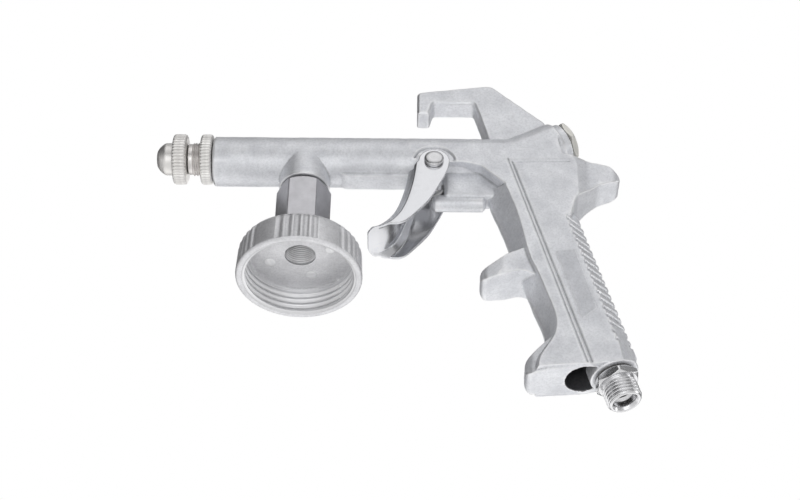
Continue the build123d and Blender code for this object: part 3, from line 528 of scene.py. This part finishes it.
def spun(name, lie, line, segments, shape=None):
    """Mesh turned round an axis. shape(distance, radius, angle) may change each radius; all in mm."""
    angles = np.linspace(0, TURN, segments, endpoint=False)
    distance = np.repeat(line[:, :1], segments, 1)
    radius = np.repeat(line[:, 1:], segments, 1)
    turn = np.repeat(angles[None, :], len(line), 0)
    if shape:
        radius = shape(distance, radius, turn)
    origin, axis = np.array(lie.origin), np.array(lie.axis)
    side, up = np.array(lie.side), np.array(lie.up)
    points = (origin + distance[..., None] * MM * axis
              + (radius * np.cos(turn))[..., None] * MM * side
              + (radius * np.sin(turn))[..., None] * MM * up).reshape(-1, 3)
    row = np.arange(len(line))[:, None] * segments
    next_row = (np.arange(len(line))[:, None] + 1) % len(line) * segments
    column = np.arange(segments)[None, :]
    next_column = (column + 1) % segments
    corners = (row + column, row + next_column, next_row + next_column, next_row + column)
    return mesh_piece(name, points, np.stack(corners, -1).reshape(-1, 4))


def mesh_piece(name, points, faces):
    """Smooth-shaded object from points and faces, with its faces turned outwards."""
    corners = points[faces]
    volume = 0.0
    for index in range(2, faces.shape[1]):
        crosses = np.cross(corners[:, index - 1], corners[:, index])
        volume += float((corners[:, 0] * crosses).sum())
    if volume < 0:
        faces = faces[:, ::-1]
    mesh = bpy.data.meshes.new(name)
    mesh.from_pydata(points.tolist(), [], faces.tolist())
    smooth_shaded(mesh)
    mesh.update()
    piece = bpy.data.objects.new(name, mesh)
    bpy.context.collection.objects.link(piece)
    return piece


def hexagon(across, distance, radius, angle, first, last, offset=0.0, bevel=0.8):
    """Radius limited to a hexagon with chamfered ends between two distances."""
    edge_round, end_land, hub = 0.12, 0.05, 0.45
    sector = (angle + offset) % (math.pi / 3) - math.pi / 6
    flat = 0.5 * across / np.cos(sector)
    corner = across / math.sqrt(3) - edge_round
    inside = np.clip(np.minimum(distance - first, last - distance), 0, None)
    cone = 0.5 * across - end_land + inside / math.tan(math.radians(30)) * bevel
    limit = np.minimum(np.minimum(flat, cone), corner)
    held = (distance >= first) & (distance <= last) & (radius > hub * across)
    return np.where(held, np.minimum(radius, limit), radius)


def thread(distance, angle, pitch, depth, start, end, hand=1):
    """Depth cut by a helical thread between two distances, faded at both ends."""
    phase = (distance / pitch - hand * angle / TURN) % 1.0
    groove = 0.5 - 0.5 * np.cos(TURN * phase)
    flattened = np.clip(1.25 * groove - 0.05, 0, 1)      # at the crest and, more, at the root
    fade = np.clip(np.minimum(distance - start, end - distance) / (0.5 * pitch), 0, 1)
    return depth * flattened * fade


def line_distance(points, line):
    """How far each point is from a line of (x, z) corners, seen from the side. Millimetres."""
    nearest = np.full(len(points), 99.0)
    for start, end in zip(line[:-1], line[1:]):
        start, run = np.array(start), np.array(end) - np.array(start)
        away = points[:, (0, 2)] - start
        share = np.clip(away @ run / (run @ run), 0, 1)
        nearest = np.minimum(nearest, np.linalg.norm(away - share[:, None] * run, axis=1))
    return nearest


def finished(piece, body, node, material):
    """Dresses a piece, hangs it on its body and lets it stand for its CAD node."""
    piece.data.materials.clear()
    piece.data.materials.append(material)
    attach(piece, body)
    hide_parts(node)


def copied(node, name):
    """Copy of a CAD node that may change its shape."""
    piece = bpy.data.objects.new(name, CAD[node].data.copy())
    bpy.context.collection.objects.link(piece)
    return piece


def baked(piece):
    """Applies the piece's modifiers to its mesh."""
    graph = bpy.context.evaluated_depsgraph_get()
    mesh = bpy.data.meshes.new_from_object(piece.evaluated_get(graph))
    piece.modifiers.clear()
    piece.data = mesh
    smooth_shaded(mesh)


def soft_copy(node, name, voxel, rounds):
    """Copy of a CAD node as an even dense mesh with its edges rounded off."""
    piece = copied(node, name)
    piece.data.materials.clear()
    remesh = piece.modifiers.new("remesh", "REMESH")
    remesh.mode = "VOXEL"
    remesh.voxel_size = voxel * MM
    smooth = piece.modifiers.new("smooth", "SMOOTH")
    smooth.factor = 0.5
    smooth.iterations = rounds
    baked(piece)
    return piece


def uneven(mesh, push, blot):
    """Shallow hollows, blot millimetres across and up to about push deep, as on a tumbled casting."""
    highest = 0.25               # of the noise's heights; what is higher stays flush
    points, normals = rows(mesh.vertices, "co"), rows(mesh.vertex_normals, "vector")
    heights = np.array([noise.noise(Vector(point) / (blot * MM)) for point in points], np.float32)
    sunk = np.minimum(heights, highest) - highest
    moved(mesh, points + normals * (sunk * push * MM)[:, None])


def thinned(piece, faces):
    """Collapses the piece to about that many triangles."""
    triangles = sum(len(polygon.vertices) - 2 for polygon in piece.data.polygons)
    if triangles > faces:
        thin = piece.modifiers.new("thin", "DECIMATE")
        thin.ratio = faces / triangles
        baked(piece)


# ---------------------------------------------------------------- nozzle
def knurled_rim(width):
    """Outline of a knurled rim's outside, with its ends bevelled."""
    bevel, end = 0.55, KNURL_CREST - 0.9
    return [
        (0.0, end, 0.7), (bevel, KNURL_CREST, 0.6), (width - bevel, KNURL_CREST, 0.6), (width, end, 0.7),
    ]


def knurl(width):
    """Rounded straight knurls on a rim of that width."""
    run_out, sharpness = 0.5, 1.6

    def shape(distance, radius, angle):
        wave = 0.5 - 0.5 * np.cos(angle * KNURLS)
        inside = np.clip(np.minimum(distance, width - distance) / run_out, 0, 1)
        on_rim = np.clip((radius - KNURL_CREST + 1.6) / 0.8, 0, 1)
        return radius - KNURL_DEPTH * wave ** sharpness * inside * on_rim
    return shape


def nozzle_cap():
    lie = Lie("nozzle_cap", FORWARD)
    tip = lie.length / MM
    inner = CAP_COLLAR + 1.0
    line = outline([
        (0.0, CAP_SOCKET, 0.2), *knurled_rim(CAP_COLLAR), (CAP_COLLAR, CAP_RADIUS, 0.25),
        (tip - 3.3, CAP_RADIUS, 0.7), (tip - 1.1, 4.8, 1.0), (tip, 3.0, 0.6), (tip, SPRAY_HOLE, 0.2),
        (tip - 2.0, SPRAY_HOLE, 0.3), (tip - 3.4, CAP_CHAMBER, 0.3), (inner, CAP_CHAMBER, 0.2),
        (inner, CAP_SOCKET, 0.2),
    ], 0.22)
    piece = spun("nozzle_cap_turned", lie, line, 460, knurl(CAP_COLLAR))
    nickel = turned_metal("nickel_cap", (0.96, 0.94, 0.915), lie, rough=0.38, marks=0.35)
    finished(piece, "nozzle", "nozzle_cap", nickel)


def lock_ring():
    lie = Lie("lock_ring", FORWARD)
    width = lie.length / MM
    line = outline([(0.0, RING_BORE, 0.2), *knurled_rim(width), (width, RING_BORE, 0.2)], 0.22)
    piece = spun("lock_ring_turned", lie, line, 460, knurl(width))
    nickel = turned_metal("nickel_ring", (0.96, 0.945, 0.92), lie, rough=0.32, marks=0.5)
    finished(piece, "lock_ring", "lock_ring", nickel)


def nozzle_tube():
    lie = Lie("nozzle_tube", FORWARD)
    front = lie.length / MM
    shoulder = front - 6.8
    neck = shoulder - 2.0
    line = outline([
        (0.0, TUBE_BORE, 0.1), (0.0, 6.0, 0.3), (0.7, TUBE_THREAD, 0.2), (neck, TUBE_THREAD, 0.2),
        (neck + 0.3, TUBE_NECK, 0.2), (shoulder, TUBE_NECK, 0.15), (shoulder, TUBE_FRONT, 0.1),
        (front, TUBE_FRONT, 0.2), (front, TUBE_BORE, 0.1),
    ], 0.1)

    def shape(distance, radius, angle):
        outside = (radius > TUBE_THREAD - 0.4) & (distance < neck + 0.2)
        return radius - np.where(outside, thread(distance, angle, FINE_PITCH, 0.55, 0.3, neck, -1), 0)

    piece = spun("nozzle_tube_threaded", lie, line, 120, shape)
    steel = turned_metal("nozzle_steel", (0.88, 0.85, 0.83), lie, rough=0.32, marks=0.3, smear=0.3)
    finished(piece, "nozzle", "nozzle_tube", steel)


# ---------------------------------------------------------------- cup lid and hexagonal nipple
def lid_flutes(angle):
    """How deep the round flutes in the lid's skirt would cut at each angle; 0 faces the front."""
    near = 0.3                   # radians, to leave out the far side of the lid
    left = np.full_like(angle, LID_RADIUS)
    for group in range(LID_GROUPS):
        for step in range(LID_FLUTES):
            middle = group * TURN / LID_GROUPS + (step - (LID_FLUTES - 1) / 2) * LID_FLUTE_TURN
            off = (angle - middle + math.pi) % TURN - math.pi
            reach = FLUTE_RADIUS ** 2 - (FLUTE_CENTRE * np.sin(off)) ** 2
            cut = FLUTE_CENTRE * np.cos(off) - np.sqrt(np.clip(reach, 0, None))
            left = np.where((reach > 0) & (np.abs(off) < near), np.minimum(left, cut), left)
    return LID_RADIUS - left


def cup_lid():
    lie = Lie("cup_lid", UP)
    top = lie.length / MM
    ledge = LID_FLOOR + 0.9
    line = outline([
        (0.0, 21.9, 0.25), (0.0, LID_RADIUS - 0.7, 0.5), (0.7, LID_RADIUS, 0.5),
        (top - 2.3, LID_RADIUS - 0.5, 1.6), (top, 21.3, 1.4), (top, LID_SPIGOT, 0.2),
        (ledge, LID_SPIGOT, 0.1), (ledge, LID_HOLE, 0.1), (LID_FLOOR, LID_HOLE, 0.25),
        (LID_FLOOR, 20.0, 0.9), (LID_FLOOR - 0.9, LID_CREST, 0.5), (0.7, LID_CREST, 0.1),
        (0.35, 21.6, 0.2),
    ], 0.32)

    def shape(distance, radius, angle):
        skirt = (radius > LID_RADIUS - 1.8) & (distance > 0.9)
        radius = np.where(skirt, radius - np.minimum(1.3 * lid_flutes(angle), LID_FLUTE_DEPTH), radius)
        crest = (radius > LID_CREST - 0.3) & (radius < LID_CREST + 0.4)
        inside = crest & (distance < LID_FLOOR - 0.8)
        cut = thread(distance, angle, LID_PITCH, LID_THREAD_DEPTH, 0.3, LID_FLOOR - 1.2)
        return radius + np.where(inside, cut, 0)

    piece = spun("cup_lid_cast", lie, line, 540, shape)
    cast = cast_aluminium("cast_lid", (0.89, 0.89, 0.905), (0.76, 0.76, 0.775), 0.10, 0.1, metallic=0.9)
    finished(piece, "gun", "cup_lid", cast)
    machined = turned_metal("lid_machined", (0.92, 0.92, 0.93), lie, rough=0.34, marks=0.5, smear=0.10)
    machined_thread(piece, machined)
    ejector_marks(lie, machined)


def machined_thread(piece, material):
    """Machined finish on the lid's inside thread."""
    piece.data.materials.append(material)
    centres = rows(piece.data.polygons, "center") / MM
    radius = np.hypot(centres[:, 0], centres[:, 1])
    on_thread = (radius > LID_CREST - 0.15) & (radius < LID_CREST + LID_THREAD_DEPTH + 0.15)
    painted(piece.data, on_thread & (centres[:, 2] < LID_FLOOR - 0.7))


def ejector_marks(lie, material):
    """Four low round marks that ejector pins leave in the lid's floor."""
    middle, proud, thick = 0.02, 0.22, 0.5
    for index, (x, y, radius) in enumerate(EJECTOR_MARKS):
        place = Lie("cup_lid", UP)
        place.origin = lie.origin + Vector((x, y, LID_FLOOR - proud)) * MM
        line = outline([
            (0.0, middle, 0.01), (0.0, radius - 0.5, 0.1), (0.1, radius, 0.15), (thick, radius, 0.1),
            (thick, middle, 0.01),
        ], 0.3)
        piece = spun(f"ejector_mark_{index + 1}", place, line, 36)
        piece.data.materials.append(material)
        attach(piece, "gun")


def hex_nipple():
    lie = Lie("hex_nipple", UP)
    bottom = lie.origin.z / MM
    lower, upper = HEX_FOOT_Z - bottom, HEX_TOP_Z - bottom
    top = lie.length / MM
    line = outline([
        (0.0, DIP_THREAD + 0.55, 0.3), (0.0, NIPPLE_FOOT, 0.2), (lower, NIPPLE_FOOT, 0.1),
        (lower, HEX_CORNER, 0.1), (upper - 1.7, HEX_CORNER, 0.3), (upper, 8.7, 0.2),
        (upper, NIPPLE_THREAD, 0.2), (top, NIPPLE_THREAD, 0.4), (top, NIPPLE_BORE, 0.2),
        (DIP_SOCKET + 1.0, NIPPLE_BORE, 0.2), (DIP_SOCKET, DIP_THREAD, 0.3),
    ], 0.16)

    def shape(distance, radius, angle):
        radius = hexagon(HEX_FLATS, distance, radius, angle, lower, upper, math.pi / 6)
        outer = (distance > upper + 0.1) & (radius > NIPPLE_THREAD - 0.5)
        radius = radius - np.where(outer, thread(distance, angle, FINE_PITCH, 0.5, upper, top), 0)
        inner = (distance < DIP_SOCKET) & (radius > DIP_THREAD) & (radius < DIP_THREAD + 0.7)
        cut = thread(distance, angle, FINE_PITCH, 0.62, -0.4, DIP_SOCKET + 0.2)
        return radius + np.where(inner, cut, 0)

    piece = spun("hex_nipple_milled", lie, line, 360, shape)
    steel = satin_hexagon("hexagon_zinc", (0.60, 0.595, 0.62), 0.34)
    finished(piece, "gun", "hex_nipple", steel)
    thinned(piece, 150000)
    bright = turned_metal("nipple_thread", (0.90, 0.90, 0.91), lie, rough=0.24, marks=0.1)
    piece.data.materials.append(bright)
    centres = rows(piece.data.polygons, "center") / MM
    painted(piece.data, np.hypot(centres[:, 0], centres[:, 1]) < NIPPLE_THREAD + 0.4)


# ---------------------------------------------------------------- air inlet, plug and pin
def inlet_nipple():
    lie = Lie("inlet_nipple", INLET_AXIS)
    end = lie.length / MM
    thread_end = end - 0.8
    thread_start = thread_end - 5 * INLET_PITCH
    hex_end = thread_start - 0.8
    hex_start = hex_end - 3.2
    shank, corner, bore = 5.4, 9.2, 3.0
    root = INLET_CREST - INLET_DEPTH
    line = outline([
        (0.0, bore, 0.1), (0.0, shank, 0.3), (hex_start, shank, 0.1), (hex_start, corner, 0.1),
        (hex_end, corner, 0.1), (hex_end, root, 0.2), (thread_start - 0.1, root, 0.2),
        (thread_start + 0.5, INLET_CREST, 0.2), (thread_end - 0.2, INLET_CREST, 0.3),
        (end, INLET_CREST - 0.9, 0.3), (end, 5.0, 0.3), (end - 1.2, INLET_BORE, 0.3),
        (end - 3.8, INLET_BORE, 0.2), (end - 4.4, bore, 0.3),
    ], 0.12)

    def shape(distance, radius, angle):
        radius = hexagon(SMALL_FLATS, distance, radius, angle, hex_start, hex_end)
        threaded = (distance > thread_start) & (radius > INLET_CREST - 0.4) & (distance < end)
        cut = thread(distance, angle, INLET_PITCH, INLET_DEPTH, thread_start - 0.4, end)
        return radius - np.where(threaded, cut, 0)

    piece = spun("inlet_nipple_turned", lie, line, 200, shape)
    bright = turned_metal("inlet_chrome", (0.88, 0.88, 0.89), lie, rough=0.17, marks=0.04, smear=0.2)
    finished(piece, "gun", "inlet_nipple", bright)


def rear_plug():
    lie = Lie("rear_plug", VALVE_AXIS)
    end = lie.length / MM
    head = end - 2.4
    middle, shank, corner, dimple = 0.02, 6.2, 8.9, 0.8
    line = outline([
        (0.0, middle, 0.01), (0.0, shank - 0.6, 0.3), (0.7, shank, 0.2), (head, shank, 0.1),
        (head, corner, 0.1), (end, corner, 0.1), (end, 3.4, 0.5), (end - dimple, 2.9, 0.3),
        (end - dimple, middle, 0.01),
    ], 0.14)

    def shape(distance, radius, angle):
        return hexagon(SMALL_FLATS, distance, radius, angle, head, end, math.pi / 6, 0.9)

    piece = spun("rear_plug_milled", lie, line, 240, shape)
    nickel = turned_metal("plug_nickel", (0.71, 0.70, 0.66), lie, rough=0.30, marks=0.4)
    finished(piece, "gun", "rear_plug", nickel)


def trigger_pin():
    lie = Lie("trigger_pin", FRONT)
    end = lie.length / MM
    head = end - 2.0
    middle, groove_start, groove_end = 0.02, 0.8, 1.65
    line = outline([
        (0.0, middle, 0.01), (0.0, PIN_RADIUS - 0.4, 0.1), (0.4, PIN_RADIUS, 0.1),
        (groove_start, PIN_RADIUS, 0.05), (groove_start, PIN_GROOVE, 0.05),
        (groove_end, PIN_GROOVE, 0.05), (groove_end, PIN_RADIUS, 0.05), (head, PIN_RADIUS, 0.1),
        (head, PIN_HEAD, 0.15), (end - 0.7, PIN_HEAD, 0.5), (end - 0.08, 2.6, 1.0), (end, middle, 0.01),
    ], 0.25)
    piece = spun("trigger_pin_turned", lie, line, 96)
    steel = turned_metal("pin_polished", (0.72, 0.72, 0.73), lie, rough=0.20, marks=0.25, smear=0.3)
    finished(piece, "gun", "trigger_pin", steel)


# ---------------------------------------------------------------- gun body
def on_pad(centres):
    """Faces of the handle's two blank pads."""
    inside = np.abs(centres[:, 1]) > OUTER_FACE
    for (x, z), (next_x, next_z) in zip(PAD, PAD[1:] + PAD[:1]):
        inside &= (next_x - x) * (centres[:, 2] - z) - (next_z - z) * (centres[:, 0] - x) < 0
    return inside


def in_core(centres):
    """Faces of the blind core hole in the handle's base, without the boss of the air inlet."""
    lip, blind_end, boss_foot = -2.3, 12.6, 2.0
    axis = np.array(INLET_AXIS)
    offset = centres - np.array(CORE_MOUTH)
    depth = -(offset @ axis)
    reach = np.linalg.norm(offset + depth[:, None] * axis, axis=1)
    beside = centres - np.array(MOUNTS["air_inlet"]["pos_m"]) / MM
    boss = np.linalg.norm(beside - (beside @ axis)[:, None] * axis, axis=1) < BOSS_RADIUS
    return (reach < CORE_RADIUS) & (depth > lip) & (depth < blind_end) & (~boss | (depth > boss_foot))


def sharp_lines(mesh):
    """Sharp lines at the foot of the handle panel's border and round the trigger's pockets."""
    border_width, groove_width = 0.38, 0.4
    groove, bead, bead_place = 0.5, 0.1, 0.9
    points = rows(mesh.vertices, "co") / MM
    sunk = 0
    for start, end, depth in BORDER_LINES:
        away = line_distance(points, (start, end)) / border_width
        sunk = np.maximum(sunk, depth * np.exp(-away ** 2))
    pivot = np.array(JOINTS["trigger_pull"]["pos_m"]) / MM
    pocket = np.hypot(points[:, 0] - pivot[0], points[:, 2] - pivot[2]) - POCKET_RADIUS
    above = np.clip((points[:, 2] - pivot[2] - 0.5) / 2.0, 0, 1)
    line = groove * np.exp(-(pocket / groove_width) ** 2)
    line -= bead * np.exp(-((pocket - bead_place) / groove_width) ** 2)
    sunk += above * line
    sunk = np.where(np.abs(points[:, 1]) > OUTER_FACE, sunk, 0)
    points[:, 1] -= np.sign(points[:, 1]) * sunk
    moved(mesh, points * MM)


def gun_body():
    piece = soft_copy("gun_body", "gun_body_cast", voxel=0.33, rounds=1)
    uneven(piece.data, push=0.14, blot=4.0)
    sharp_lines(piece.data)
    cast = cast_aluminium("cast_body", (0.92, 0.93, 0.955), (0.77, 0.78, 0.81), 0.18)
    pad = cast_aluminium("cast_pad", (0.78, 0.79, 0.82), (0.66, 0.67, 0.70), 0.30, 0.4)
    # Painted shade: the blind core hole's faces get a near-black tone.
    core_shade = cast_aluminium("cast_core_shade", (0.20, 0.20, 0.21), (0.10, 0.10, 0.11), 0.25, 0.2)
    finished(piece, "gun", "gun_body", cast)
    thinned(piece, 190000)
    piece.data.materials.append(pad)
    piece.data.materials.append(core_shade)
    centres = rows(piece.data.polygons, "center") / MM
    painted(piece.data, np.where(on_pad(centres), 1, np.where(in_core(centres), 2, 0)))


# ---------------------------------------------------------------- trigger
def pressed(mesh):
    """Droops the sides of the finger paddle as in a pressed spoon, and rolls the cheeks into the web."""
    droop, half_width, paddle_end, paddle_run = 0.9, 9.0, 35.0, 6.0
    inward, fold_width, cheek_start, cheek_run = 0.9, 7.0, 8.0, 3.0
    points = rows(mesh.vertices, "co") / MM
    near_tip = np.clip((paddle_end - points[:, 0]) / paddle_run, 0, 1)
    points[:, 2] -= droop * (points[:, 1] / half_width) ** 2 * near_tip ** 2 * (3 - 2 * near_tip)
    roll = inward * np.clip(1 - line_distance(points, TRIGGER_WEB) / fold_width, 0, 1) ** 2
    cheek = np.clip((np.abs(points[:, 1]) - cheek_start) / cheek_run, 0, 1) ** 2
    points[:, 1] -= np.sign(points[:, 1]) * roll * cheek
    moved(mesh, points * MM)


def trigger():
    piece = soft_copy("trigger", "trigger_pressed", voxel=0.26, rounds=10)
    pressed(piece.data)
    finished(piece, "trigger", "trigger", chrome("trigger_chrome"))
    thinned(piece, 120000)


# ---------------------------------------------------------------- inside pieces
def valve_spring(steel):
    """The spring stands on the rear plug: a copy of its CAD node with a mesh of its own."""
    piece = copied("valve_spring", "spring_wire")
    finished(piece, "gun", "valve_spring", steel)
    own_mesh(piece)


def inner_pieces():
    """CAD pieces that keep their shape and get a better material."""
    valve = Lie("valve_seat", VALVE_AXIS)
    nozzle = Lie("air_jet", FORWARD)
    clip = Lie("trigger_clip", (0, 1, 0))
    valve_brass = turned_metal("valve_brass", BRASS, valve, rough=0.28, marks=0.4)
    valve_steel = turned_metal("valve_steel", (0.72, 0.72, 0.72), valve, rough=0.20, marks=0.3)
    jet_brass = turned_metal("jet_brass", BRASS, nozzle, rough=0.28, marks=0.4)
    clip_steel = turned_metal("clip_steel", (0.50, 0.50, 0.51), clip, rough=0.30, marks=0.3)
    fibre = seal("seal_fibre", (0.10, 0.095, 0.09))
    bronze = cast_aluminium("filter_bronze", (0.62, 0.48, 0.28), (0.42, 0.32, 0.18), 0.2, 0.0)
    dressed = (
        (jet_brass, ("air_jet",)),
        (valve_brass, ("valve_poppet", "valve_seat")),
        (valve_steel, ("valve_stem",)),
        (clip_steel, ("trigger_clip", "valve_gland")),
        (bronze, ("inlet_filter",)),
        (fibre, ("nozzle_seal", "nipple_washer", "poppet_seal", "valve_packing", "rear_gasket",
                 "inlet_washer")),
    )
    for material, nodes in dressed:
        for node in nodes:
            for slot in CAD[node].material_slots:
                slot.material = material
    valve_spring(valve_steel)


camera()
floor()
tent()
lights()
gun_body()
trigger()
trigger_pin()
nozzle_cap()
nozzle_tube()
lock_ring()
cup_lid()
hex_nipple()
inlet_nipple()
rear_plug()
inner_pieces()
